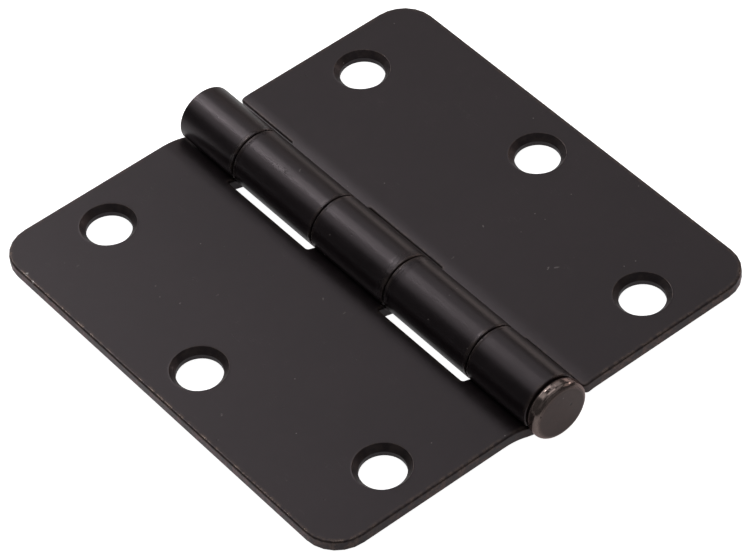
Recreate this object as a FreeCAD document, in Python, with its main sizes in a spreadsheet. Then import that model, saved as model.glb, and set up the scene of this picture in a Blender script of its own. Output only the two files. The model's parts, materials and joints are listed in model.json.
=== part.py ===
import FreeCAD, Part
import math
import os

import Sketcher

# Full-mortise butt hinge with a loose pin: two curled and swaged plate leaves on one headed pin.
# Row frame: +Y along the pin towards its head, +X across the three-knuckle leaf, +Z out of the
# countersunk faces. The origin is on the pin's axis, half-way along the overall length.

# Driving dimensions, in millimetres and degrees: alias, value, meaning.
DIMENSIONS = [
    ("leaf_length", 88.9, "length of both leaves along the pin"),
    ("open_width", 88.9, "width across both leaves lying flat"),
    ("plate_thick", 2.1, "thickness of the leaf plate"),
    ("corner_radius", 6.35, "radius of the leaves' outer corners"),
    ("pin_diameter", 6.35, "diameter of the pin's shank"),
    ("pin_clear", 0.05, "radial clearance of the pin in the knuckles"),
    ("face_drop", 1.32, "from the pin's axis down to the countersunk faces"),
    ("swage_start", 9.6, "from the pin's axis to where the flat of the plate begins"),
    ("shoulder_share", 0.517, "share of the swage's two radii that is its shoulder's"),
    ("seam_gap", 0.1, "gap between the end of the curl and the plate"),
    ("middle_knuckle", 18.7, "length of the middle knuckle, joint to joint"),
    ("side_knuckle", 20.75, "length of the second and fourth knuckles, joint to joint"),
    ("knuckle_gap", 0.2, "gap at each joint between two knuckles"),
    ("three_leaf_clear", 0.82, "from the barrel to the notches of the three-knuckle leaf"),
    ("two_leaf_clear", 1.82, "from the barrel to the notches of the two-knuckle leaf"),
    ("front_round", 0.4, "rounding of the outer edges on the countersunk side"),
    ("back_round", 0.25, "rounding of the outer edges on the back"),
    ("knuckle_round", 0.25, "rounding of the knuckles' ends"),
    ("edge_margin", 8.7, "from the leaf's edges to the nearest screw holes"),
    ("hole_stagger", 8.6, "how far the end holes are set in from the middle hole"),
    ("hole_diameter", 7.8, "diameter of the screw holes"),
    ("sink_diameter", 9.7, "diameter of the countersinks at the face"),
    ("sink_angle", 82.0, "included angle of the countersinks"),
    ("head_lip", 0.1, "how far the pin's head stands out past the barrel"),
    ("head_thick", 2.7, "thickness of the pin's head"),
    ("head_rim", 1.1, "rounding of the head's outer rim"),
    ("head_back", 1.1, "rounding of the head's inner rim"),
    ("seat_gap", 0.1, "gap between the head and the end of the barrel"),
    ("tip_recess", 0.6, "how far the pin's tip stops inside the barrel"),
    ("tip_chamfer", 0.7, "chamfer on the pin's tip"),
]

# Sizes that follow from the driving dimensions, written in the sheet's names.
BORE = "(sizes.pin_diameter / 2 + sizes.pin_clear)"
BARREL = "(sizes.pin_diameter / 2 + sizes.pin_clear + sizes.plate_thick)"
HALF_LENGTH = "sizes.leaf_length / 2"
HALF_WIDTH = "sizes.open_width / 2"
INNER_JOINT = "sizes.middle_knuckle / 2"
OUTER_JOINT = "(sizes.middle_knuckle / 2 + sizes.side_knuckle)"
HALF_GAP = "sizes.knuckle_gap / 2"
RISE = f"({BORE} - sizes.face_drop)"
SHOULDER = f"sizes.shoulder_share * ({RISE} ^ 2 + sizes.swage_start ^ 2) / (2 * {RISE})"

UP = FreeCAD.Vector(0, 0, 1)
ALONG = FreeCAD.Vector(0, 1, 0)
TURN = 360
START, END, CENTRE = 1, 2, 3
ORIGIN = -1
UPRIGHT = -2
TOUCH = 1e-4
CUT_SPARE = 2

document = FreeCAD.newDocument("butt_hinge")
sheet = document.addObject("Spreadsheet::Sheet", "sizes")
for row, (alias, value, meaning) in enumerate(DIMENSIONS, start=1):
    sheet.set(f"A{row}", alias)
    sheet.set(f"B{row}", str(value))
    sheet.set(f"C{row}", meaning)
    sheet.setAlias(f"B{row}", alias)
document.recompute()


def size(alias):
    """The number that the sheet holds under one alias."""
    return float(sheet.get(alias))


def new_body(name):
    """One sub-part, whose label names its file."""
    body = document.addObject("PartDesign::Body", name)
    body.Label = name
    return body


def new_sketch(body, plane, name):
    """A sketch on one of the body's own origin planes."""
    sketch = body.newObject("Sketcher::SketchObject", name)
    support = [part for part in body.Origin.OriginFeatures if part.Role == plane]
    sketch.AttachmentSupport = [(support[0], "")]
    sketch.MapMode = "FlatFace"
    return sketch


def drive(sketch, name, constraint, expression):
    """Add a dimension to a sketch and bind it to the sheet."""
    index = sketch.addConstraint(constraint)
    sketch.renameConstraint(index, name)
    sketch.setExpression(f".Constraints.{name}", expression)


def line(start, end):
    """A sketch line between two (across, up) points."""
    return Part.LineSegment(FreeCAD.Vector(*start, 0), FreeCAD.Vector(*end, 0))


def arc(centre, radius, start_degrees, end_degrees):
    """A sketch arc that runs anticlockwise about its centre."""
    circle = Part.Circle(FreeCAD.Vector(*centre, 0), FreeCAD.Vector(0, 0, 1), radius)
    return Part.ArcOfCircle(circle, math.radians(start_degrees), math.radians(end_degrees))


def polar(centre, radius, degrees):
    """The point at a radius and an angle from a centre."""
    turn = math.radians(degrees)
    return (centre[0] + radius * math.cos(turn), centre[1] + radius * math.sin(turn))


def leaf_profile(body):
    """Section across the pin: flat plate, swage down under the pin, and the curl round it."""
    thick = size("plate_thick")
    bore = size("pin_diameter") / 2 + size("pin_clear")
    barrel = bore + thick
    front = -size("face_drop")
    half_width = size("open_width") / 2

    # The swage is two arcs of one slope where they meet: the foot curves up from the bottom of
    # the bore, and the shoulder curves over into the flat of the plate.
    rise = bore - size("face_drop")
    run = size("swage_start")
    radii = (rise ** 2 + run ** 2) / (2 * rise)
    shoulder = size("shoulder_share") * radii
    foot = radii - shoulder
    slope = 2 * math.degrees(math.atan(rise / run))
    axis = (0, 0)
    shoulder_centre = (run, front - shoulder)
    foot_centre = (0, foot - bore)
    bottom = TURN - 90

    # The curl ends where its outer corner meets the shoulder, less the seam.
    reach = math.hypot(*shoulder_centre)
    seam = shoulder + size("seam_gap")
    lean = math.acos((barrel ** 2 + reach ** 2 - seam ** 2) / (2 * barrel * reach))
    curl_angle = math.degrees(math.atan2(shoulder_centre[1], shoulder_centre[0]) + lean)

    outline = [
        line((half_width, front), (run, front)),
        arc(shoulder_centre, shoulder, 90, 90 + slope),
        arc(foot_centre, foot, bottom, bottom + slope),
        arc(axis, bore, curl_angle, bottom),
        line(polar(axis, bore, curl_angle), polar(axis, barrel, curl_angle)),
        arc(axis, barrel, curl_angle, bottom),
        arc(foot_centre, foot + thick, bottom, bottom + slope),
        arc(shoulder_centre, shoulder - thick, 90, 90 + slope),
        line((run, front - thick), (half_width, front - thick)),
        line((half_width, front - thick), (half_width, front)),
    ]
    sketch = new_sketch(body, "XZ_Plane", body.Name + "_profile")
    (face, shoulder_in, foot_in, inside, curl_end,
     outside, foot_out, shoulder_out, back, edge) = sketch.addGeometry(outline)
    sketch.addConstraint([
        Sketcher.Constraint("Tangent", face, END, shoulder_in, START),
        Sketcher.Constraint("Tangent", shoulder_in, END, foot_in, END),
        Sketcher.Constraint("Tangent", foot_in, START, inside, END),
        Sketcher.Constraint("Coincident", inside, START, curl_end, START),
        Sketcher.Constraint("Coincident", curl_end, END, outside, START),
        Sketcher.Constraint("Tangent", outside, END, foot_out, START),
        Sketcher.Constraint("Tangent", foot_out, END, shoulder_out, END),
        Sketcher.Constraint("Tangent", shoulder_out, START, back, START),
        Sketcher.Constraint("Coincident", back, END, edge, START),
        Sketcher.Constraint("Coincident", edge, END, face, START),
        Sketcher.Constraint("Coincident", inside, CENTRE, ORIGIN, START),
        Sketcher.Constraint("Coincident", outside, CENTRE, ORIGIN, START),
        Sketcher.Constraint("Coincident", foot_out, CENTRE, foot_in, CENTRE),
        Sketcher.Constraint("Coincident", shoulder_out, CENTRE, shoulder_in, CENTRE),
        Sketcher.Constraint("PointOnObject", foot_in, CENTRE, UPRIGHT),
        Sketcher.Constraint("PointOnObject", ORIGIN, START, curl_end),
        Sketcher.Constraint("Horizontal", face),
        Sketcher.Constraint("Vertical", edge),
    ])
    drive(sketch, "bore", Sketcher.Constraint("Radius", inside, bore), BORE)
    drive(sketch, "barrel", Sketcher.Constraint("Radius", outside, barrel), BARREL)
    drive(sketch, "shoulder", Sketcher.Constraint("Radius", shoulder_in, shoulder), SHOULDER)
    drive(sketch, "run", Sketcher.Constraint("DistanceX", ORIGIN, START, face, END, run),
          "sizes.swage_start")
    drive(sketch, "half_width", Sketcher.Constraint("DistanceX", ORIGIN, START, edge, END, half_width),
          HALF_WIDTH)
    drive(sketch, "drop", Sketcher.Constraint("DistanceY", edge, END, ORIGIN, START, -front),
          "sizes.face_drop")
    drive(sketch, "thick", Sketcher.Constraint("DistanceY", edge, START, edge, END, thick),
          "sizes.plate_thick")
    drive(sketch, "seam", Sketcher.Constraint("Distance", curl_end, END, shoulder_in, CENTRE, seam),
          f"{SHOULDER} + sizes.seam_gap")
    return sketch


def rectangle(sketch, name, across, along):
    """A rectangle whose low and high sides are (value, expression) pairs along each sketch axis."""
    (left, left_size), (right, right_size) = across
    (low, low_size), (high, high_size) = along
    bottom, side, top, back = sketch.addGeometry([
        line((left, low), (right, low)),
        line((right, low), (right, high)),
        line((right, high), (left, high)),
        line((left, high), (left, low)),
    ])
    sketch.addConstraint([
        Sketcher.Constraint("Coincident", bottom, END, side, START),
        Sketcher.Constraint("Coincident", side, END, top, START),
        Sketcher.Constraint("Coincident", top, END, back, START),
        Sketcher.Constraint("Coincident", back, END, bottom, START),
        Sketcher.Constraint("Horizontal", bottom),
        Sketcher.Constraint("Horizontal", top),
        Sketcher.Constraint("Vertical", side),
        Sketcher.Constraint("Vertical", back),
    ])
    corner = Sketcher.Constraint("DistanceX", ORIGIN, START, bottom, START, left)
    drive(sketch, name + "_left", corner, left_size)
    corner = Sketcher.Constraint("DistanceX", ORIGIN, START, top, START, right)
    drive(sketch, name + "_right", corner, right_size)
    corner = Sketcher.Constraint("DistanceY", ORIGIN, START, bottom, START, low)
    drive(sketch, name + "_low", corner, low_size)
    corner = Sketcher.Constraint("DistanceY", ORIGIN, START, top, START, high)
    drive(sketch, name + "_high", corner, high_size)


def cut_notches(body, notches, clearance):
    """Cut the plate and the curl away where the other leaf's knuckles turn."""
    barrel = size("pin_diameter") / 2 + size("pin_clear") + size("plate_thick")
    across = ((-barrel - CUT_SPARE, f"-({BARREL} + {CUT_SPARE})"),
              (barrel + size(clearance), f"{BARREL} + sizes.{clearance}"))
    sketch = new_sketch(body, "XY_Plane", body.Name + "_notches")
    for name, along in notches.items():
        rectangle(sketch, name, across, along)
    pocket = body.newObject("PartDesign::Pocket", body.Name + "_notching")
    pocket.Profile = sketch
    pocket.Type = "ThroughAll"
    pocket.SideType = "Symmetric"
    return pocket


def drill_screw_holes(body):
    """Three countersunk holes: two near the leaf's ends and one set out between them."""
    x_middle = size("open_width") / 2 - size("edge_margin")
    x_end = x_middle - size("hole_stagger")
    y_end = size("leaf_length") / 2 - size("edge_margin")
    end_across = f"{HALF_WIDTH} - sizes.edge_margin - sizes.hole_stagger"
    end_along = f"{HALF_LENGTH} - sizes.edge_margin"
    places = {
        "high": ((x_end, end_across), (y_end, end_along)),
        "middle": ((x_middle, f"{HALF_WIDTH} - sizes.edge_margin"), (0, "0")),
        "low": ((x_end, end_across), (-y_end, f"-({end_along})")),
    }

    sketch = new_sketch(body, "XY_Plane", body.Name + "_screw_places")
    sketch.setExpression("AttachmentOffset.Base.z", "-sizes.face_drop")
    radius = size("hole_diameter") / 2
    for name, ((x, x_size), (y, y_size)) in places.items():
        ring = sketch.addGeometry(Part.Circle(FreeCAD.Vector(x, y, 0), FreeCAD.Vector(0, 0, 1), radius))
        drive(sketch, name + "_bore", Sketcher.Constraint("Radius", ring, radius),
              "sizes.hole_diameter / 2")
        drive(sketch, name + "_across", Sketcher.Constraint("DistanceX", ORIGIN, START, ring, CENTRE, x),
              x_size)
        drive(sketch, name + "_along", Sketcher.Constraint("DistanceY", ORIGIN, START, ring, CENTRE, y),
              y_size)
    document.recompute()

    hole = body.newObject("PartDesign::Hole", body.Name + "_screw_holes")
    hole.Profile = sketch
    hole.ThreadType = "None"
    hole.DepthType = "ThroughAll"
    hole.HoleCutType = "Countersink"
    hole.HoleCutCustomValues = True
    hole.setExpression("Diameter", "sizes.hole_diameter")
    hole.setExpression("HoleCutDiameter", "sizes.sink_diameter")
    hole.setExpression("HoleCutCountersinkAngle", "sizes.sink_angle")
    return hole


def edges(feature, wanted):
    """Names of a feature's edges that pass a test."""
    return [f"Edge{number}" for number, edge in enumerate(feature.Shape.Edges, start=1) if wanted(edge)]


def is_straight(edge, axis):
    """True for a straight edge that runs along one axis."""
    ends = [vertex.Point for vertex in edge.Vertexes]
    if len(ends) != 2 or not isinstance(edge.Curve, Part.Line):
        return False
    return abs((ends[1] - ends[0]).getAngle(axis) % math.pi) < TOUCH


def is_circle(edge, radius):
    """True for a circle or an arc of one radius that lies across the pin."""
    return (isinstance(edge.Curve, Part.Circle) and near(edge.Curve.Radius, radius)
            and abs(edge.Curve.Axis.y) > 1 - TOUCH)


def near(value, target):
    return abs(value - target) < TOUCH


def round_edges(body, name, wanted, alias):
    """Round the edges that pass a test, and whatever runs on smoothly from them."""
    document.recompute()
    base = body.Tip
    rounded = edges(base, wanted)
    fillet = body.newObject("PartDesign::Fillet", body.Name + name)
    fillet.Base = (base, rounded)
    fillet.setExpression("Radius", "sizes." + alias)
    document.recompute()
    return fillet


def leaf(name, notches, clearance):
    """One leaf, with its plate towards +X and the barrel about Y."""
    body = new_body(name)
    plate = body.newObject("PartDesign::Pad", name + "_plate")
    plate.Profile = leaf_profile(body)
    plate.SideType = "Symmetric"
    plate.setExpression("Length", "sizes.leaf_length")
    cut_notches(body, notches, clearance)
    drill_screw_holes(body)

    barrel = size("pin_diameter") / 2 + size("pin_clear") + size("plate_thick")
    face = -size("face_drop")
    rim = size("open_width") / 2

    def is_corner(edge):
        return is_straight(edge, UP) and near(edge.CenterOfMass.x, rim)

    def is_front_rim(edge):
        return is_straight(edge, ALONG) and near(edge.CenterOfMass.x, rim) and near(edge.CenterOfMass.z, face)

    def is_back_rim(edge):
        return (is_straight(edge, ALONG) and near(edge.CenterOfMass.x, rim)
                and near(edge.CenterOfMass.z, face - size("plate_thick")))

    def is_knuckle_end(edge):
        return is_circle(edge, barrel)

    round_edges(body, "_corners", is_corner, "corner_radius")
    round_edges(body, "_front_rim", is_front_rim, "front_round")
    round_edges(body, "_back_rim", is_back_rim, "back_round")
    round_edges(body, "_knuckle_ends", is_knuckle_end, "knuckle_round")
    return body


def notch_between(low, low_size, high, high_size):
    """The two ends of a notch as (value, expression) pairs."""
    return ((low, low_size), (high, high_size))


def three_knuckle_leaf():
    """Leaf with the middle knuckle and both end knuckles."""
    inner = size("middle_knuckle") / 2 - size("knuckle_gap") / 2
    outer = size("middle_knuckle") / 2 + size("side_knuckle") + size("knuckle_gap") / 2
    inner_size = f"{INNER_JOINT} - {HALF_GAP}"
    outer_size = f"{OUTER_JOINT} + {HALF_GAP}"
    notches = {
        "high": notch_between(inner, inner_size, outer, outer_size),
        "low": notch_between(-outer, f"-({outer_size})", -inner, f"-({inner_size})"),
    }
    return leaf("three_knuckle_leaf", notches, "three_leaf_clear")


def two_knuckle_leaf():
    """Leaf with the second and fourth knuckles; the same stamping turned to face the other way."""
    inner = size("middle_knuckle") / 2 + size("knuckle_gap") / 2
    outer = size("middle_knuckle") / 2 + size("side_knuckle") - size("knuckle_gap") / 2
    end = size("leaf_length") / 2 + CUT_SPARE
    inner_size = f"{INNER_JOINT} + {HALF_GAP}"
    outer_size = f"{OUTER_JOINT} - {HALF_GAP}"
    end_size = f"{HALF_LENGTH} + {CUT_SPARE}"
    notches = {
        "high": notch_between(outer, outer_size, end, end_size),
        "middle": notch_between(-inner, f"-({inner_size})", inner, inner_size),
        "low": notch_between(-end, f"-({end_size})", -outer, f"-({outer_size})"),
    }
    body = leaf("two_knuckle_leaf", notches, "two_leaf_clear")
    body.Placement.Rotation = FreeCAD.Rotation(FreeCAD.Vector(0, 0, 1), TURN / 2)
    return body


def hinge_pin():
    """Shank through all five knuckles, with a flat button head beyond the last one."""
    body = new_body("hinge_pin")
    shank = size("pin_diameter") / 2
    head = shank + size("pin_clear") + size("plate_thick") + size("head_lip")
    tip = -(size("leaf_length") / 2 - size("tip_recess"))
    neck = size("leaf_length") / 2 + size("seat_gap")
    top = neck + size("head_thick")

    sketch = new_sketch(body, "XY_Plane", "hinge_pin_profile")
    tip_line, shank_line, neck_line, rim_line, top_line, axis_line = sketch.addGeometry([
        line((0, tip), (shank, tip)),
        line((shank, tip), (shank, neck)),
        line((shank, neck), (head, neck)),
        line((head, neck), (head, top)),
        line((head, top), (0, top)),
        line((0, top), (0, tip)),
    ])
    chain = [tip_line, shank_line, neck_line, rim_line, top_line, axis_line]
    for here, following in zip(chain, chain[1:] + chain[:1]):
        sketch.addConstraint(Sketcher.Constraint("Coincident", here, END, following, START))
    for flat in (tip_line, neck_line, top_line):
        sketch.addConstraint(Sketcher.Constraint("Horizontal", flat))
    for upright in (shank_line, rim_line, axis_line):
        sketch.addConstraint(Sketcher.Constraint("Vertical", upright))
    sketch.addConstraint(Sketcher.Constraint("PointOnObject", axis_line, START, UPRIGHT))
    drive(sketch, "shank", Sketcher.Constraint("DistanceX", tip_line, START, tip_line, END, shank),
          "sizes.pin_diameter / 2")
    drive(sketch, "head", Sketcher.Constraint("DistanceX", top_line, END, top_line, START, head),
          f"{BARREL} + sizes.head_lip")
    drive(sketch, "tip", Sketcher.Constraint("DistanceY", tip_line, START, ORIGIN, START, -tip),
          f"{HALF_LENGTH} - sizes.tip_recess")
    drive(sketch, "neck", Sketcher.Constraint("DistanceY", ORIGIN, START, neck_line, START, neck),
          f"{HALF_LENGTH} + sizes.seat_gap")
    drive(sketch, "thick", Sketcher.Constraint("DistanceY", rim_line, START, rim_line, END, top - neck),
          "sizes.head_thick")

    turned = body.newObject("PartDesign::Revolution", "hinge_pin_turned")
    turned.Profile = sketch
    turned.ReferenceAxis = (sketch, ["V_Axis"])
    turned.Angle = TURN

    def circle_at(edge, radius, height):
        return is_circle(edge, radius) and near(edge.Curve.Center.y, height)

    round_edges(body, "_rim", lambda edge: circle_at(edge, head, top), "head_rim")
    round_edges(body, "_neck", lambda edge: circle_at(edge, head, neck), "head_back")
    chamfer = body.newObject("PartDesign::Chamfer", "hinge_pin_tip")
    base = body.Group[-2]
    chamfer.Base = (base, edges(base, lambda edge: circle_at(edge, shank, tip)))
    chamfer.setExpression("Size", "sizes.tip_chamfer")
    return body


def main():
    bodies = [three_knuckle_leaf(), two_knuckle_leaf(), hinge_pin()]
    for body in bodies:
        body.setExpression("Placement.Base.y", "-(sizes.seat_gap + sizes.head_thick) / 2")
    document.recompute()

    for item in document.Objects:
        if "Invalid" in item.State or "Error" in item.State:
            raise RuntimeError(f"{item.Name} did not compute: {item.State}")
    os.makedirs("parts", exist_ok=True)
    for body in bodies:
        if body.Shape.isNull() or not body.Shape.isValid():
            raise RuntimeError(f"{body.Label} has no valid shape")
        body.Shape.exportStep(f"parts/{body.Label}.step")
        print(f"{body.Label}: {body.Shape.Volume:.1f} cubic millimetres")


main()
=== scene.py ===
import json
import math

import bpy
import numpy as np
from mathutils import Matrix, Vector, geometry


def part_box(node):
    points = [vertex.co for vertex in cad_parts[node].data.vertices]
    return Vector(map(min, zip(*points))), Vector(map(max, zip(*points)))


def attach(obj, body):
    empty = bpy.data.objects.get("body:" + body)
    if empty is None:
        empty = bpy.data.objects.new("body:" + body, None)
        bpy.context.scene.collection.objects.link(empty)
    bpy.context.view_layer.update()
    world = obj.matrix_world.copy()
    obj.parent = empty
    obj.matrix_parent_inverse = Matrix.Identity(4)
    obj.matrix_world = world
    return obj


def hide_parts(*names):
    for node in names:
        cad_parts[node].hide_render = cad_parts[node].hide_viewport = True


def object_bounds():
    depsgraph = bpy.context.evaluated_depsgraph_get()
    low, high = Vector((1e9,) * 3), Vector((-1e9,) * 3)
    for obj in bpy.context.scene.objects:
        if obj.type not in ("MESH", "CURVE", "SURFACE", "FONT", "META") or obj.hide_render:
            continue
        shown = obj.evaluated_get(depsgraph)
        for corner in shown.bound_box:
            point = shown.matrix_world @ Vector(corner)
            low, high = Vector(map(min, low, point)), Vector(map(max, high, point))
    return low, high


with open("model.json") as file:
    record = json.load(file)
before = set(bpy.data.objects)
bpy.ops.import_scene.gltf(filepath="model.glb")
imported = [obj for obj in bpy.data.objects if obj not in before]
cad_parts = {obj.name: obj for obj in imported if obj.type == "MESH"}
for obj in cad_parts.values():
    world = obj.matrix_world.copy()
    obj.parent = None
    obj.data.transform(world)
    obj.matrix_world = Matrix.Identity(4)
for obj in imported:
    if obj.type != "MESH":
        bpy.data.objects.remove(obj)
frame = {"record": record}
cad_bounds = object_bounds()
MM = 0.001


# ---------------------------------------------------------------- sizes

# Everything below is in millimetres and in the leaves' own frame: the pin's axis is Y, and the
# leaves' middle is at y = 0. The CAD boxes and the record give the places.
leaf_low, leaf_high = (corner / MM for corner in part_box("three_knuckle_leaf"))
pin_low, pin_high = (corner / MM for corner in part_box("hinge_pin"))
MIDDLE_Y = (leaf_low.y + leaf_high.y) / 2
HALF_LENGTH = (leaf_high.y - leaf_low.y) / 2
HALF_WIDTH = leaf_high.x
BARREL = -leaf_low.z
HEAD = -pin_low.z

# Each leaf has a screw hole near each end, and one in the middle that is set out to its edge.
mounts = {mount["name"]: mount for mount in frame["record"]["mounts"]}
end_screws = mounts["three_knuckle_leaf_end_screws"]
middle_screw = mounts["three_knuckle_leaf_middle_screw"]
HOLE_RADIUS = end_screws["dims"]["hole_r_mm"]
END_X = abs(end_screws["pos_m"][0]) / MM
END_Y = end_screws["dims"]["spacing_y_mm"] / 2
MIDDLE_X = abs(middle_screw["pos_m"][0]) / MM
HOLES = ((END_X, END_Y), (MIDDLE_X, 0.0), (END_X, -END_Y))

# Sizes of the pressed plate and the pin that no box gives.
PLATE = 2.1
BORE = BARREL - PLATE
SHANK = BORE - 0.05
FACE_DROP = 1.32
SWAGE_START = 9.6
SHOULDER_SHARE = 0.517
SEAM_GAP = 0.1
CORNER = 6.35
INNER_JOINT, OUTER_JOINT, HALF_GAP = 9.35, 30.1, 0.1
FRONT_ROUND, BACK_ROUND = 0.4, 0.25
SINK_RADIUS, SINK_HALF_ANGLE = 4.85, math.radians(41)
SINK_ROUND, CONE_ROUND, HOLE_ROUND = 0.16, 0.1, 0.2
HEAD_THICK, HEAD_RIM, HEAD_BACK = 2.7, 1.1, 1.1
TIP_CHAMFER = 0.7
TIP_ROUND, NECK_ROUND = 0.15, 0.1

# The notches' clearances to the other leaf's barrel, and how their corners are rounded.
THREE_LEAF_CLEAR = 0.82
TAIL_CLEAR, MIDDLE_CLEAR, HEAD_CLEAR = 1.95, 1.82, 1.6
NOTCH_ROUND, NOTCH_END_ROUND, KNUCKLE_ROUND = 0.4, 0.8, 0.45

# How finely the sheet and the round shapes are divided, how far the flat faces start inside their
# edges, and how far their free points keep from the outline and the holes.
FLAT_PARTS, SWAGE_PARTS, CURL_PARTS = 23, 20, 75
Y_STEP = 1.5
CORNER_STEPS, EDGE_STEPS, HOLE_STEPS, PIN_STEPS = 7, 6, 72, 120
LINE_MARGIN = 0.25
FACE_INSET = 0.85
HOLE_SPREAD = 0.6
OUTLINE_ROOM, HOLE_ROOM = 0.22, 0.5

# Wear runs from 0 for whole coating to 1 for bare metal: along the plate's edge and the curl's,
# on a countersink's rim and down its cone.
PLATE_WEAR, CURL_WEAR, SINK_RIM_WEAR, SINK_CONE_WEAR = 1.0, 0.5, 0.8, 0.3


# ---------------------------------------------------------------- the bent sheet

RISE = BORE - FACE_DROP
RADII = (RISE**2 + SWAGE_START**2) / (2 * RISE)
SHOULDER = SHOULDER_SHARE * RADII
FOOT = RADII - SHOULDER
SLOPE = 2 * math.atan(RISE / SWAGE_START)


def curl_end_angle():
    """Where the curl's outer corner meets the shoulder, less the seam."""
    down = FACE_DROP + SHOULDER
    reach = math.hypot(SWAGE_START, down)
    seam = SHOULDER + SEAM_GAP
    lean = math.acos((BARREL**2 + reach**2 - seam**2) / (2 * BARREL * reach))
    return lean - math.atan2(down, SWAGE_START)


CURL_END = curl_end_angle()
BOTTOM = math.radians(270)
FLAT_END = HALF_WIDTH - SWAGE_START
SHOULDER_END = FLAT_END + (SHOULDER - PLATE / 2) * SLOPE
FOOT_END = SHOULDER_END + (FOOT + PLATE / 2) * SLOPE
SHEET_END = FOOT_END + (BORE + PLATE / 2) * (BOTTOM - CURL_END)


def bend(s, depth):
    """Carry a point of the flat sheet, s from its outer edge and depth below its front face,
    to (x, z), with the directions of growing s and of the front face's normal there."""
    if s <= FLAT_END:
        return (HALF_WIDTH - s, -FACE_DROP - depth), (-1, 0), (0, 1)
    if s <= SHOULDER_END:
        turn = math.radians(90) + (s - FLAT_END) / (SHOULDER - PLATE / 2)
        c, d, radius, up = math.cos(turn), math.sin(turn), SHOULDER - depth, 1
        centre, along = (SWAGE_START, -FACE_DROP - SHOULDER), (-d, c)
    else:
        up = -1
        if s <= FOOT_END:
            turn = BOTTOM + SLOPE - (s - SHOULDER_END) / (FOOT + PLATE / 2)
            radius, centre = FOOT + depth, (0, FOOT - BORE)
        else:
            turn = BOTTOM - (s - FOOT_END) / (BORE + PLATE / 2)
            radius, centre = BORE + depth, (0, 0)
        c, d = math.cos(turn), math.sin(turn)
        along = (d, -c)
    return (centre[0] + radius * c, centre[1] + radius * d), along, (up * c, up * d)


def stations():
    """Where the sheet is divided along s: coarse on the flat, fine round the bends."""
    flat = np.linspace(0, FLAT_END, FLAT_PARTS + 1)[1:-1]
    swage = np.linspace(FLAT_END, FOOT_END, SWAGE_PARTS + 1)[:-1]
    curl = np.linspace(FOOT_END, SHEET_END, CURL_PARTS + 1)[:-1]
    return [float(s) for s in (*flat, *swage, *curl)]


S_LINES = stations()
Y_COUNT = int(HALF_LENGTH / Y_STEP)
Y_LINES = [Y_STEP * k for k in range(-Y_COUNT, Y_COUNT + 1)]


# ---------------------------------------------------------------- outlines with rounded corners


def signed_turn(before, here, after):
    """Above 0 where the run from before through here to after turns left."""
    return (here[0] - before[0]) * (after[1] - here[1]) - (here[1] - before[1]) * (after[0] - here[0])


def outline_ring(corners, inset):
    """Points round a right-angled outline that is drawn in by inset, each with its outward
    direction. Corners are (s, y, radius), anticlockwise in s and y. The count of points is the
    same at every inset."""
    count = len(corners)
    arcs = []
    for i, (s, y, radius) in enumerate(corners):
        before, after = corners[i - 1][:2], corners[(i + 1) % count][:2]
        convex = signed_turn(before, (s, y), after) > 0
        into = Vector((s - before[0], y - before[1])).normalized()
        out = Vector((after[0] - s, after[1] - y)).normalized()
        side = 1 if convex else -1
        reach = max(radius, inset + 0.02) if convex else radius
        centre = Vector((s, y)) + (out - into) * reach
        points = []
        for k in range(CORNER_STEPS):
            t = k / (CORNER_STEPS - 1) * math.pi / 2
            away = into * math.sin(t) - out * math.cos(t)
            points.append((centre + away * (reach - side * inset), away * side))
        arcs.append(points)
    ring = []
    for i in range(count):
        ring += arcs[i]
        here, there = corners[i], corners[(i + 1) % count]
        axis = 0 if abs(there[0] - here[0]) > abs(there[1] - here[1]) else 1
        low, high = sorted(((here[axis], here[2]), (there[axis], there[2])))
        first, last = low[0] + low[1] + 2 * LINE_MARGIN, high[0] - high[1] - 2 * LINE_MARGIN
        between = [v for v in (Y_LINES if axis else S_LINES) if first < v < last]
        if here[axis] > there[axis]:
            between.reverse()
        start, away = arcs[i][-1]
        for v in between:
            ring.append((Vector((start[0], v)) if axis else Vector((v, start[1])), away))
    return ring


def rounded(points, radii, steps=5):
    """A line through points with rounded corners, as (point, normal) pairs. Its normals point
    to the left of its run."""
    line = []
    for i, (point, radius) in enumerate(zip(points, radii)):
        here = Vector(point)
        before = (here - Vector(points[i - 1])).normalized() if i else None
        after = (Vector(points[i + 1]) - here).normalized() if i + 1 < len(points) else None
        if before is None or after is None or radius == 0:
            for way in (before, after):
                if way is not None:
                    line.append((here, Vector((-way.y, way.x))))
            continue
        turn = before.angle(after)
        cut = radius * math.tan(turn / 2)
        side = 1 if before.cross(after) > 0 else -1
        centre = here - before * cut + Vector((-before.y, before.x)) * radius * side
        first = Vector((before.y, -before.x)) * side
        for k in range(steps):
            spoke = Matrix.Rotation(side * turn * k / (steps - 1), 2) @ first
            line.append((centre + spoke * radius, -spoke * side))
    return line


def circle(s, y, radius):
    """Points of the flat sheet round a screw hole."""
    turns = [math.tau * k / HOLE_STEPS for k in range(HOLE_STEPS)]
    return [(s + radius * math.cos(t), y + radius * math.sin(t)) for t in turns]


# ---------------------------------------------------------------- meshes


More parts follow.
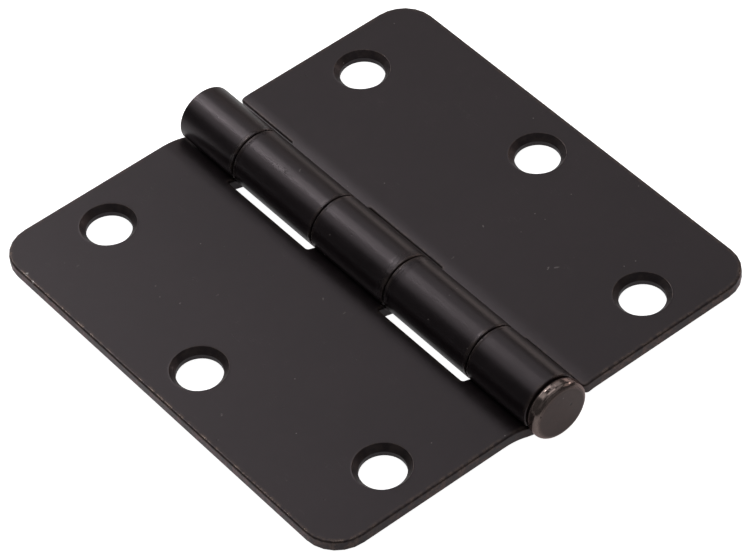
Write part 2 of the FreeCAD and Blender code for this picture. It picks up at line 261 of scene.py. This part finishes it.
class Shell:
    """Vertices with their normals, their wear and how far they lie along a turned section, and
    faces that are turned to fit the normals."""

    def __init__(self):
        self.points, self.normals, self.wear, self.cut, self.faces = [], [], [], [], []

    def add(self, point, normal, wear=0.0, cut=0.0):
        self.points.append(Vector(point))
        self.normals.append(Vector(normal).normalized())
        self.wear.append(wear)
        self.cut.append(cut)
        return len(self.points) - 1

    def face(self, *corners):
        corners = list(dict.fromkeys(corners))
        if len(corners) < 3:
            return
        a, b, c = (self.points[k] for k in corners[:3])
        facing = (b - a).cross(c - a)
        if len(corners) > 3:
            facing += (c - a).cross(self.points[corners[3]] - a)
        wanted = sum((self.normals[k] for k in corners), Vector())
        self.faces.append(corners if facing.dot(wanted) > 0 else corners[::-1])

    def bridge(self, one, two):
        """Faces between two closed rings of the same length."""
        for k in range(len(one)):
            j = (k + 1) % len(one)
            self.face(one[k], one[j], two[j], two[k])

    def build(self, name, node, slot, material):
        """Make the piece, which rides on the CAD node's body and replaces the node."""
        mesh = bpy.data.meshes.new(name)
        mesh.from_pydata([p * MM for p in self.points], [], self.faces)
        mesh.shade_smooth()
        for attribute, values in (("wear", self.wear), ("cut", self.cut)):
            mesh.attributes.new(attribute, "FLOAT", "POINT").data.foreach_set("value", values)
        mesh.normals_split_custom_set_from_vertices(self.normals)
        mesh.materials.append(material)
        piece = bpy.data.objects.new(name, mesh)
        bpy.context.scene.collection.objects.link(piece)
        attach(piece, node)
        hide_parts(node)


def inside(loop, points):
    """Which points lie inside a closed loop."""
    hit = np.zeros(len(points), bool)
    x, y = points[:, 0], points[:, 1]
    ends = np.roll(loop, -1, 0)
    for (ax, ay), (bx, by) in zip(loop, ends):
        if ay != by:
            crosses = (ay > y) != (by > y)
            hit ^= crosses & (x < (bx - ax) * (y - ay) / (by - ay) + ax)
    return hit


def near_loop(loop, points, distance):
    """Which points come within a distance of a closed loop."""
    close = np.zeros(len(points), bool)
    for a, b in zip(loop, np.roll(loop, -1, 0)):
        ab = b - a
        t = np.clip(((points - a) @ ab) / max(ab @ ab, 1e-12), 0, 1)
        close |= ((points - (a + t[:, None] * ab)) ** 2).sum(1) < distance**2
    return close


class Leaf(Shell):
    """A shell that is made on the flat sheet and bent. side is 1 for the leaf at +X, and -1 for
    the one that is turned half round from it about Z."""

    def __init__(self, side):
        super().__init__()
        self.side = side

    def place(self, s, y, depth, across=0.0, along=0.0, facing=1.0, wear=0.0, cut=0.0):
        """A point of the sheet; its normal is given across (s), along (y) and facing front."""
        (x, z), tangent, front = bend(s, depth)
        normal = Vector((self.side * (across * tangent[0] + facing * front[0]), self.side * along,
                         across * tangent[1] + facing * front[1]))
        return self.add((self.side * x, self.side * y + MIDDLE_Y, z), normal, wear, cut)

    def edge(self, corners):
        """The rounded edge round the outline. Gives its rings of points, front to back."""
        rings = []
        for inset, depth, facing, outward in edge_section():
            ring = []
            for (s, y), away in outline_ring(corners, inset):
                wear = PLATE_WEAR if s < FLAT_END else CURL_WEAR
                ring.append(self.place(s, y, depth, away[0] * outward, away[1] * outward, facing, wear))
            rings.append(ring)
        for one, two in zip(rings, rings[1:]):
            self.bridge(one, two)
        return rings

    def countersink(self, s, y, section):
        """A countersunk hole, with tool lines down its section. Gives its first and last ring."""
        rings = []
        for number, (point, normal) in enumerate(section):
            run = SINK_RADIUS + HOLE_SPREAD - point[0] - point[1]
            ring = []
            for k in range(HOLE_STEPS):
                t = math.tau * k / HOLE_STEPS
                c, d = math.cos(t), math.sin(t)
                ring.append(self.place(s + point[0] * c, y + point[0] * d, -point[1], -normal[0] * c,
                                       -normal[0] * d, -normal[1], sink_wear(number), run))
            rings.append(ring)
        for one, two in zip(rings, rings[1:]):
            self.bridge(one, two)
        return rings[0], rings[-1]

    def fill(self, loops, depth, facing):
        """Cover one face of the sheet inside the first loop and outside the others. loops hold
        (indices, flat points)."""
        flat = [np.array(points, float) for _, points in loops]
        grid = np.array([(s, y) for s in S_LINES for y in Y_LINES], float)
        keep = inside(flat[0], grid) & ~near_loop(flat[0], grid, OUTLINE_ROOM)
        for loop in flat[1:]:
            keep &= ~inside(loop, grid) & ~near_loop(loop, grid, HOLE_ROOM)
        grid = grid[keep]
        owners, rim, edges = [], [], []
        for indices, points in loops:
            start = len(rim)
            rim += [Vector(p) for p in points]
            owners += indices
            edges += [(start + k, start + (k + 1) % len(points)) for k in range(len(points))]
        owners += [self.place(s, y, depth, facing=facing) for s, y in grid]
        found = geometry.delaunay_2d_cdt(rim + [Vector(p) for p in grid], edges, [], 0, 1e-7)
        points, triangles, origin = found[0], found[2], found[3]
        centres = np.array([sum((points[k] for k in t), Vector((0, 0))) / 3 for t in triangles])
        solid = inside(flat[0], centres)
        for loop in flat[1:]:
            solid &= ~inside(loop, centres)
        for triangle, wanted in zip(triangles, solid):
            if wanted:
                self.face(*(owners[origin[k][0]] for k in triangle))


# ---------------------------------------------------------------- the two leaves


def edge_section():
    """The plate's rounded edge, front to back, as inset, depth and how far its normal faces the
    front and outward."""
    turns = [k / (EDGE_STEPS - 1) * math.pi / 2 for k in range(EDGE_STEPS)]
    front, back = [], []
    for t in turns:
        c, d = math.cos(t), math.sin(t)
        front.append((FRONT_ROUND * (1 - d), FRONT_ROUND * (1 - c), c, d))
        back.append((BACK_ROUND * (1 - d), PLATE - BACK_ROUND * (1 - c), -c, d))
    return front + back[::-1]


def hole_section():
    """A countersunk hole from the front face to the back, as distance from its axis and height,
    with normals that point into the plate."""
    depth = (SINK_RADIUS - HOLE_RADIUS) / math.tan(SINK_HALF_ANGLE)
    corners = [(SINK_RADIUS + HOLE_SPREAD, 0), (SINK_RADIUS, 0), (HOLE_RADIUS, -depth),
               (HOLE_RADIUS, -PLATE), (HOLE_RADIUS + HOLE_SPREAD, -PLATE)]
    return rounded(corners, [0, SINK_ROUND, CONE_ROUND, HOLE_ROUND, 0])


def sink_wear(number):
    """Wear at a point of the hole's section: points 2 to 4 are its rim, and points 5 to 7 its
    cone and the start of the bend below it."""
    if 2 <= number <= 4:
        return SINK_RIM_WEAR
    return SINK_CONE_WEAR if 5 <= number <= 7 else 0.0


def leaf_piece(name, corners, side, material):
    """One leaf: its outline is cut and rounded on the flat sheet, and the sheet is bent."""
    leaf = Leaf(side)
    rings = leaf.edge(corners)
    faces = []
    for ring, depth, facing in ((rings[0], 0.0, 1.0), (rings[-1], PLATE, -1.0)):
        inner = [point for point, _ in outline_ring(corners, FACE_INSET)]
        support = [leaf.place(s, y, depth, facing=facing) for s, y in inner]
        leaf.bridge(ring, support)
        faces.append([(support, inner)])
    section = hole_section()
    for x, y in HOLES:
        s = HALF_WIDTH - x
        first, last = leaf.countersink(s, y, section)
        faces[0].append((first, circle(s, y, SINK_RADIUS + HOLE_SPREAD)))
        faces[1].append((last, circle(s, y, HOLE_RADIUS + HOLE_SPREAD)))
    leaf.fill(faces[0], 0.0, 1.0)
    leaf.fill(faces[1], PLATE, -1.0)
    leaf.build(name + "_pressed", name, "leaf_finish", material)


def notch_line(clear):
    """How far along the sheet a notch begins, from its clearance to the barrel."""
    return FLAT_END + (SHOULDER - PLATE / 2) * math.asin((SWAGE_START - BARREL - clear) / SHOULDER)


def three_knuckle_outline():
    """Anticlockwise corners: the half below y = 0, then its mirror image above."""
    near, far, notch = INNER_JOINT - HALF_GAP, OUTER_JOINT + HALF_GAP, notch_line(THREE_LEAF_CLEAR)
    corners = [(0, HALF_LENGTH, CORNER), (SHEET_END, HALF_LENGTH, KNUCKLE_ROUND),
               (SHEET_END, far, KNUCKLE_ROUND), (notch, far, NOTCH_ROUND), (notch, near, NOTCH_ROUND),
               (SHEET_END, near, KNUCKLE_ROUND)]
    return [(s, -y, radius) for s, y, radius in corners] + corners[::-1]


def two_knuckle_outline():
    """Anticlockwise corners: the half below y = 0, at the pin's head, then the half above."""
    near, far = INNER_JOINT + HALF_GAP, OUTER_JOINT - HALF_GAP
    tail, middle, head = (notch_line(clear) for clear in (TAIL_CLEAR, MIDDLE_CLEAR, HEAD_CLEAR))

    def half(way, end_notch):
        return [(0, way * HALF_LENGTH, CORNER), (end_notch, way * HALF_LENGTH, NOTCH_END_ROUND),
                (end_notch, way * far, NOTCH_ROUND), (SHEET_END, way * far, KNUCKLE_ROUND),
                (SHEET_END, way * near, KNUCKLE_ROUND), (middle, way * near, NOTCH_ROUND)]

    return half(-1, head) + half(1, tail)[::-1]


# ---------------------------------------------------------------- the pin


def pin_piece(material):
    """The loose pin: a turned shank, chamfered at its tip, under a flat button head."""
    shell = Shell()
    tip, top = pin_low.y, pin_high.y
    neck = top - HEAD_THICK
    corners = [(0, tip), (SHANK - TIP_CHAMFER, tip), (SHANK, tip + TIP_CHAMFER), (SHANK, neck), (HEAD, neck),
               (HEAD, top), (0, top)]
    section = rounded(corners, [0, TIP_ROUND, TIP_ROUND, NECK_ROUND, HEAD_BACK, HEAD_RIM, 0], 7)
    rings = []
    for point, normal in section:
        if point.x < 1e-6:
            rings.append([shell.add((0, point.y, 0), (0, -normal.y, 0))] * PIN_STEPS)
            continue
        ring = []
        for k in range(PIN_STEPS):
            t = math.tau * k / PIN_STEPS
            c, d = math.cos(t), math.sin(t)
            ring.append(shell.add((point.x * c, point.y, point.x * d),
                                  (-normal.x * c, -normal.y, -normal.x * d), head_wear(point, neck)))
        rings.append(ring)
    for one, two in zip(rings, rings[1:]):
        shell.bridge(one, two)
    shell.build("hinge_pin_turned", "hinge_pin", "pin_finish", material)


def head_wear(point, neck):
    """Wear of the pin: none on its shank, and growing to the full over the head's rounded rim."""
    if point.y <= neck + 0.2:
        return 0.0
    return min(max((point.x - HEAD + HEAD_RIM) / HEAD_RIM * 1.6, 0.0), 1.0)


# ---------------------------------------------------------------- materials


class Nodes:
    """A short way to write one material's nodes."""

    def __init__(self, name):
        self.material = bpy.data.materials.new(name)
        self.material.use_nodes = True
        self.tree = self.material.node_tree
        self.tree.nodes.clear()

    def add(self, kind, inputs=None, **settings):
        node = self.tree.nodes.new("ShaderNode" + kind)
        for key, value in settings.items():
            setattr(node, key, value)
        for key, value in (inputs or {}).items():
            self.put(node.inputs[key], value)
        return node

    def put(self, socket, value):
        if isinstance(value, bpy.types.NodeSocket):
            self.tree.links.new(value, socket)
        else:
            socket.default_value = value

    def math(self, operation, *values, clamp=False):
        node = self.add("Math", operation=operation, use_clamp=clamp)
        for socket, value in zip(node.inputs, values):
            self.put(socket, value)
        return node.outputs[0]

    def plus(self, one, two):
        return self.math("ADD", one, two)

    def minus(self, one, two):
        return self.math("SUBTRACT", one, two)

    def times(self, one, two):
        return self.math("MULTIPLY", one, two)

    def noise(self, vector, scale, detail=2.0, roughness=0.5, distortion=0.0):
        return self.add("TexNoise", {"Vector": vector, "Scale": scale, "Detail": detail,
                                     "Roughness": roughness, "Distortion": distortion}).outputs["Fac"]

    def ramp(self, value, low, high, to_low=0.0, to_high=1.0):
        node = self.add("MapRange", {"Value": value, "From Min": low, "From Max": high, "To Min": to_low,
                                     "To Max": to_high}, interpolation_type="SMOOTHSTEP")
        return node.outputs["Result"]

    def mix(self, factor, one, two):
        node = self.add("Mix", data_type="RGBA")
        self.put(node.inputs["Factor"], factor)
        self.put(node.inputs["A"], one)
        self.put(node.inputs["B"], two)
        return node.outputs["Result"]

    def millimetres(self, stretch=(1, 1, 1), shift=(0, 0, 0)):
        """The object's own coordinates in millimetres, stretched and then moved by shift."""
        where = self.add("TexCoord").outputs["Object"]
        scale = [1000 * v for v in stretch]
        return self.add("Mapping", {"Vector": where, "Scale": scale, "Location": shift}).outputs["Vector"]

    def spot(self, centre, sizes, turn):
        """1 inside a soft-edged ellipsoid about a place on the leaves, and 0 outside."""
        away = self.millimetres(shift=[-centre[0], -centre[1] - MIDDLE_Y, -centre[2]])
        node = self.add("Mapping", {"Vector": away, "Rotation": (0, 0, -turn)})
        node = self.add("VectorMath", {0: node.outputs["Vector"], 1: [1 / v for v in sizes]},
                        operation="MULTIPLY")
        node = self.add("VectorMath", {0: node.outputs["Vector"]}, operation="LENGTH")
        return self.ramp(node.outputs["Value"], 0.5, 1.0, 1.0, 0.0)


DUST = [0.42, 0.39, 0.37, 1]
SCRAPED = [0.5, 0.46, 0.44, 1]
# Painted shade: the near-black colour put into the pits.
PIT_SHADE = [0.002, 0.0015, 0.0015, 1]

# Where the knuckles rub on each other, from the leaves' middle: place, reach and strength.
RUBBED_JOINTS = ((-OUTER_JOINT, 1.2, 0.8), (-INNER_JOINT, 0.9, 0.35), (INNER_JOINT, 2.2, 1.0),
                 (OUTER_JOINT, 0.9, 0.5))

# Small marks on the coating: centre, direction, half length, half width and strength. The centres
# of these marks and pits were read off the photograph and carried to the hinge by its camera.
LEAF_MARKS = (((43.9, -35.8, -1.45), 0.4, 0.5, 0.3, 0.8), ((44.2, -33.7, -1.6), 1.3, 0.5, 0.25, 0.6),
              ((36.6, -31.5, -1.32), 0.3, 0.35, 0.2, 0.2), ((29.3, -13.4, -1.32), 0.9, 0.3, 0.2, 0.2),
              ((23.7, -10.7, -1.32), 0.1, 0.35, 0.18, 0.22), ((39.2, 10.3, -1.32), 0.7, 0.35, 0.25, 0.25),
              ((29.9, -19.2, -1.32), 0.5, 0.3, 0.2, 0.15), ((11.6, 1.7, -1.32), 0.9, 0.5, 0.16, 0.2),
              ((11.0, 6.4, -1.32), 0.2, 0.4, 0.16, 0.2), ((-18.1, 6.8, -1.32), 1.1, 0.4, 0.16, 0.25),
              ((-9.8, 8.9, -1.32), 0.2, 0.45, 0.18, 0.15), ((-19.7, 21.2, -1.32), 0.5, 0.5, 0.2, 0.3),
              ((-20.8, 22.0, -1.32), -0.5, 0.6, 0.2, 0.25), ((-0.3, -18.4, 5.3), 0.5, 0.5, 0.16, 0.2))
# Pits, which are also painted near-black as shade in their hollows: centre and radius.
LEAF_PITS = (((1.53, -19.84, 5.1), 0.3), ((1.2, -20.6, 5.15), 0.16))
PIN_PITS = (((-1.85, 47.25, 0.68), 0.34), ((4.3, 47.25, 2.1), 0.24))


def blemishes(n, mm, base, marks, pits):
    """Dust, scratches, marks, and pits with painted shade in them. Gives the colour and the pits' depth."""
    cells = n.add("TexVoronoi", {"Vector": mm, "Scale": 0.42, "Randomness": 1.0}, feature="F1")
    away = cells.outputs["Distance"]
    chance = n.add("SeparateColor", {"Color": cells.outputs["Color"]}).outputs[0]
    speck = n.times(n.ramp(away, 0.02, 0.06, 1.0, 0.0), n.math("GREATER_THAN", chance, 0.72))
    pit_depth_and_shade = n.times(n.ramp(away, 0.03, 0.09, 1.0, 0.0), n.math("LESS_THAN", chance, 0.05))
    base = n.mix(n.times(speck, 0.45), base, DUST)

    streaks = n.noise(n.millimetres((0.9, 0.12, 0.9)), 1.5, 4.0, 0.55, 0.6)
    scratch = n.times(n.ramp(n.math("ABSOLUTE", n.minus(streaks, 0.5)), 0.0, 0.004, 1.0, 0.0),
                      n.ramp(n.noise(mm, 0.22, 2.0), 0.6, 0.72))
    base = n.mix(n.times(scratch, 0.12), base, DUST)

    broken = n.ramp(n.noise(mm, 3.0, 3.0, 0.7), 0.4, 0.55)
    for centre, turn, length, width, strength in marks:
        stroke = n.times(n.spot(centre, (length, width, 0.8), turn), n.times(broken, strength))
        base = n.mix(stroke, base, SCRAPED)
    for centre, size in pits:
        pit_depth_and_shade = n.math("MAXIMUM", pit_depth_and_shade, n.spot(centre, (size, size, size), 0.0))
    # Painted shade: the pits are darkened to near black.
    return n.mix(n.times(pit_depth_and_shade, 0.8), base, PIT_SHADE), pit_depth_and_shade


def barrel_masks(n):
    """Masks for the barrel's outside and for its burnished bands beside the knuckle joints."""
    where = n.add("SeparateXYZ", {"Vector": n.millimetres(shift=(0, -MIDDLE_Y, 0))})
    squares = [n.math("POWER", where.outputs[axis], 2.0) for axis in ("X", "Z")]
    radius = n.math("SQRT", n.plus(*squares))
    barrel = n.times(n.ramp(radius, BARREL - 0.6, BARREL - 0.3),
                     n.ramp(radius, BARREL + 0.1, BARREL + 0.3, 1.0, 0.0))
    bands = 0.0
    for y, reach, strength in RUBBED_JOINTS:
        off = n.math("ABSOLUTE", n.minus(where.outputs["Y"], y))
        bands = n.plus(bands, n.ramp(off, 0.3, reach, strength, 0.0))
    return barrel, n.times(bands, barrel)


def coated_steel(name, colour, rubbed_colour, roughness, rubbed_roughness, tint, patches, marks, pits):
    """Dark baked coating over steel: fine grain, faint clouds, dust and scratches, edges rubbed
    lighter and glossier, and tool lines where it is turned or where the knuckles rub."""
    n = Nodes(name)
    mm = n.millimetres()
    cloud = n.noise(mm, 0.05, 3.0, 0.55)
    mottle = n.noise(mm, 0.45, 4.0, 0.6)
    fine = n.noise(mm, 4.0, 3.0, 0.6)
    pores = n.noise(mm, 13.0, 2.0, 0.5)

    tone = n.plus(n.times(cloud, 0.55), n.times(mottle, 0.45))
    dark, light = ([c * share for c in colour] + [1] for share in (0.75, 1.25))
    base = n.mix(n.ramp(tone, 0.36, 0.64), dark, light)
    wear = n.add("Attribute", attribute_name="wear").outputs["Fac"]
    rubbed = n.times(wear, n.ramp(n.noise(mm, 0.8, 4.0, 0.65), 0.4, 0.62, patches, 1.0))
    base = n.mix(rubbed, base, [*rubbed_colour, 1])
    base, pit_depth_and_shade = blemishes(n, mm, base, marks, pits)

    barrel, burnish = barrel_masks(n)
    rough = n.plus(n.times(n.minus(mottle, 0.5), 0.12), roughness)
    rough = n.plus(rough, n.times(n.minus(fine, 0.5), 0.08))
    rough = n.plus(rough, n.times(rubbed, rubbed_roughness - roughness))
    rough = n.minus(rough, n.times(burnish, 0.10))
    rough = n.math("SUBTRACT", rough, n.times(barrel, 0.05), clamp=True)

    # Tool lines run round the barrel beside its joints, and round a turned section.
    cut = n.add("Attribute", attribute_name="cut").outputs["Fac"]
    lines = n.noise(n.add("CombineXYZ", {"X": cut}).outputs["Vector"], 5.0, 3.0, 0.6)
    rings = n.noise(n.millimetres((0.04, 1.0, 0.04)), 2.8, 3.0, 0.65)
    height = n.plus(n.times(fine, 0.5), n.times(pores, 0.35))
    height = n.minus(height, n.times(pit_depth_and_shade, 3.0))
    height = n.plus(height, n.times(n.times(rings, burnish), 16.0))
    height = n.plus(height, n.times(n.times(lines, n.ramp(cut, 0.3, 0.6)), 4.0))
    grain = n.add("Bump", {"Height": height, "Strength": 1.0, "Distance": 0.000012})
    swell = n.add("Bump", {"Height": cloud, "Strength": 0.2, "Distance": 0.00012,
                           "Normal": grain.outputs["Normal"]})

    shader = n.add("BsdfPrincipled", {"Base Color": base, "Roughness": rough, "Metallic": n.times(rubbed, 0.9),
                                      "Normal": swell.outputs["Normal"]})
    shader.inputs["IOR"].default_value = 1.5
    shader.inputs["Specular Tint"].default_value = (*tint, 1)
    n.add("OutputMaterial", {"Surface": shader.outputs["BSDF"]})
    return n.material


leaf_finish = coated_steel("leaf_finish", colour=(0.0065, 0.0043, 0.005), rubbed_colour=(0.1, 0.077, 0.068),
                           roughness=0.36, rubbed_roughness=0.26, tint=(1.0, 0.86, 0.92), patches=0.1,
                           marks=LEAF_MARKS, pits=LEAF_PITS)
pin_finish = coated_steel("pin_finish", colour=(0.058, 0.033, 0.029), rubbed_colour=(0.2, 0.158, 0.146),
                          roughness=0.42, rubbed_roughness=0.13, tint=(1.0, 0.84, 0.84), patches=0.9,
                          marks=(), pits=PIN_PITS)

leaf_piece("three_knuckle_leaf", three_knuckle_outline(), 1, leaf_finish)
leaf_piece("two_knuckle_leaf", two_knuckle_outline(), -1, leaf_finish)
pin_piece(pin_finish)


# ---------------------------------------------------------------- floor, light and camera


FLOOR_REACH = 3.0
BACKDROP = 0.08
WARM = (1.0, 0.86, 0.8)

# Name, azimuth, elevation, distance, size, brightness and colour, in degrees and metres. A fit of
# each light's share to the photograph set the brightnesses, which were then rounded and adjusted.
SOFT_BOXES = (("key", 8, 48, 0.8, (0.09, 0.1), 18.0), ("key_left", 350, 48, 0.8, (0.2, 0.3), 2.9),
              ("key_edge", 330, 48, 0.8, (0.22, 0.34), 0.55), ("fill_left", 308, 46, 0.8, (0.26, 0.34), 0.66),
              ("fill_right", 32, 46, 0.8, (0.3, 0.34), 0.9), ("low_far", 0, 22, 0.9, (0.6, 0.26), 2.3),
              ("overhead", 0, 85, 0.9, (0.5, 0.5), 1.4), ("high_right", 60, 60, 0.9, (0.4, 0.4), 0.4),
              ("high_near", 205, 60, 0.9, (0.5, 0.4), 0.4), ("high_left", 257, 58, 0.9, (0.4, 0.4), 0.45),
              ("low_left", 290, 10, 0.9, (0.6, 0.25), 0.95, WARM),
              ("low_mid", 322, 24, 0.8, (0.3, 0.2), 0.5, WARM),
              ("high_camera", 150, 60, 0.9, (0.4, 0.4), 0.3),
              ("near_left", 250, 28, 0.9, (0.5, 0.35), 0.6, WARM),
              ("lamp_left", 264, 19, 0.9, (0.12, 0.12), 8.0, WARM),
              ("side_right", 105, 35, 0.9, (0.6, 0.4), 0.1), ("near_low", 180, 25, 0.9, (0.7, 0.4), 0.12))

# The photograph's camera, in degrees and millimetres, from a fit to the hinge's outline: where it
# stands, its roll, and how far its axis passes to the right of the leaves' middle and below it.
CAMERA_AZIMUTH, CAMERA_ELEVATION, CAMERA_ROLL = 144.365, 46.418, -5.142
CAMERA_DISTANCE, CAMERA_RIGHT, CAMERA_DOWN = 667.863, 0.603, 4.440
CAMERA_SENSOR, CAMERA_LENS = 36, 196.66


def direction(azimuth, elevation):
    """Away from the hinge; azimuth 0 stands at -Y, and 90 at +X."""
    a, e = math.radians(azimuth), math.radians(elevation)
    return Vector((math.sin(a) * math.cos(e), -math.cos(a) * math.cos(e), math.sin(e)))


def table_finish():
    """White, darker far away, and as bright as a light table where the camera sees it. Near the hinge it
    also glows for glossy rays alone: a painted reflection on the hinge.
    """
    n = Nodes("table")
    mm = n.millimetres()
    away = n.add("VectorMath", {0: mm}, operation="LENGTH").outputs["Value"]
    shade = n.times(n.ramp(n.noise(mm, 0.02, 2.0), 0.3, 0.7, 0.86, 0.9), n.ramp(away, 60, 260, 1.0, 0.25))
    colour = n.add("CombineColor", {0: shade, 1: shade, 2: shade}).outputs[0]
    shader = n.add("BsdfPrincipled", {"Base Color": colour, "Roughness": 0.7})
    shader.inputs["Emission Color"].default_value = (1, 1, 1, 1)
    path = n.add("LightPath")
    # Painted reflection: the floor near the hinge glows only for glossy rays.
    glow = n.times(n.times(path.outputs["Is Glossy Ray"], 0.3), n.ramp(away, 40, 90, 1.0, 0.0))
    n.put(shader.inputs["Emission Strength"], n.plus(path.outputs["Is Camera Ray"], glow))
    n.add("OutputMaterial", {"Surface": shader.outputs["BSDF"]})
    return n.material


def floor_piece():
    """The plain table top that the hinge lies on."""
    low = cad_bounds[0].z
    corners = [(x * FLOOR_REACH, y * FLOOR_REACH, low) for x, y in ((-1, -1), (1, -1), (1, 1), (-1, 1))]
    mesh = bpy.data.meshes.new("floor")
    mesh.from_pydata(corners, [], [(0, 1, 2, 3)])
    mesh.materials.append(table_finish())
    floor = bpy.data.objects.new("floor", mesh)
    bpy.context.scene.collection.objects.link(floor)


def white_world():
    """White where the camera sees it, and a faint fill light otherwise."""
    world = bpy.data.worlds.new("studio")
    world.use_nodes = True
    nodes, links = world.node_tree.nodes, world.node_tree.links
    path = nodes.new("ShaderNodeLightPath")
    strength = nodes.new("ShaderNodeMath")
    strength.operation = "MAXIMUM"
    strength.inputs[1].default_value = BACKDROP
    links.new(path.outputs["Is Camera Ray"], strength.inputs[0])
    links.new(strength.outputs[0], nodes["Background"].inputs["Strength"])
    nodes["Background"].inputs["Color"].default_value = (1, 1, 1, 1)
    bpy.context.scene.world = world


def soft_box(name, azimuth, elevation, distance, size, brightness, colour=(1, 1, 1)):
    """A large area light that looks at the hinge, of an even brightness."""
    light = bpy.data.lights.new(name, "AREA")
    light.shape = "RECTANGLE"
    light.size, light.size_y = size
    light.energy = math.pi * size[0] * size[1] * brightness
    light.color = colour
    lamp = bpy.data.objects.new(name, light)
    bpy.context.scene.collection.objects.link(lamp)
    back = direction(azimuth, elevation)
    lamp.location = back * distance
    lamp.rotation_euler = back.to_track_quat("Z", "Y").to_euler()


def photo_camera():
    """A long lens that looks down across the hinge from beside the pin's head."""
    azimuth, roll = math.radians(CAMERA_AZIMUTH), math.radians(CAMERA_ROLL)
    back = direction(CAMERA_AZIMUTH, CAMERA_ELEVATION)
    right = Vector((math.cos(azimuth), math.sin(azimuth), 0))
    up = back.cross(right)
    right, up = (math.cos(roll) * right + math.sin(roll) * up, math.cos(roll) * up - math.sin(roll) * right)
    place = back * CAMERA_DISTANCE + right * CAMERA_RIGHT - up * CAMERA_DOWN + Vector((0, MIDDLE_Y, 0))
    camera = bpy.data.objects.new("camera", bpy.data.cameras.new("camera"))
    camera.data.sensor_width = CAMERA_SENSOR
    camera.data.lens = CAMERA_LENS
    camera.data.clip_start, camera.data.clip_end = 0.01, 100
    camera.matrix_world = Matrix.Translation(place * MM) @ Matrix((right, up, back)).transposed().to_4x4()
    bpy.context.scene.collection.objects.link(camera)
    bpy.context.scene.camera = camera


floor_piece()
white_world()
for box in SOFT_BOXES:
    soft_box(*box)
photo_camera()
bpy.context.scene.view_settings.view_transform = "Standard"
